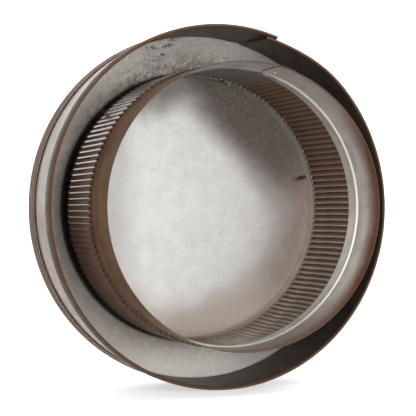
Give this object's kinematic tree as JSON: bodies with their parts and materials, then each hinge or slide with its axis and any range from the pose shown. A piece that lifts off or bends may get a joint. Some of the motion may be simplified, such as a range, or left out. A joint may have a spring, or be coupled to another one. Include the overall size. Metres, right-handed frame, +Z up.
{
  "type": "louvred duct cap",
  "caption": "Round louvred ventilator cap for a roof duct: open tail pipe, louvred barrel, hemmed outer wind band and dished lid. It has no moving parts.",
  "frame": {"origin": "on the surface that the cap stands on, under the middle of its bounding box, in line with the duct axis", "axes": "+Z up; +Y along the duct axis from the open tail pipe to the lid; +X to the right, seen from the tail pipe"},
  "size_m": [0.4676, 0.2148, 0.4676],
  "materials": {
    "coated_sheet": "satin brown powder coat outside, bare mottled metal inside",
    "rivet_metal": "dull bare metal"
  },
  "bodies": {
    "root": {"louvre_barrel": "coated_sheet", "wind_band": "coated_sheet", "lid": "coated_sheet", "barrel_seam_rivet_1": "rivet_metal", "barrel_seam_rivet_2": "rivet_metal", "barrel_seam_rivet_3": "rivet_metal", "band_seam_rivet_1": "rivet_metal", "band_seam_rivet_2": "rivet_metal"}
  },
  "joints": []
}
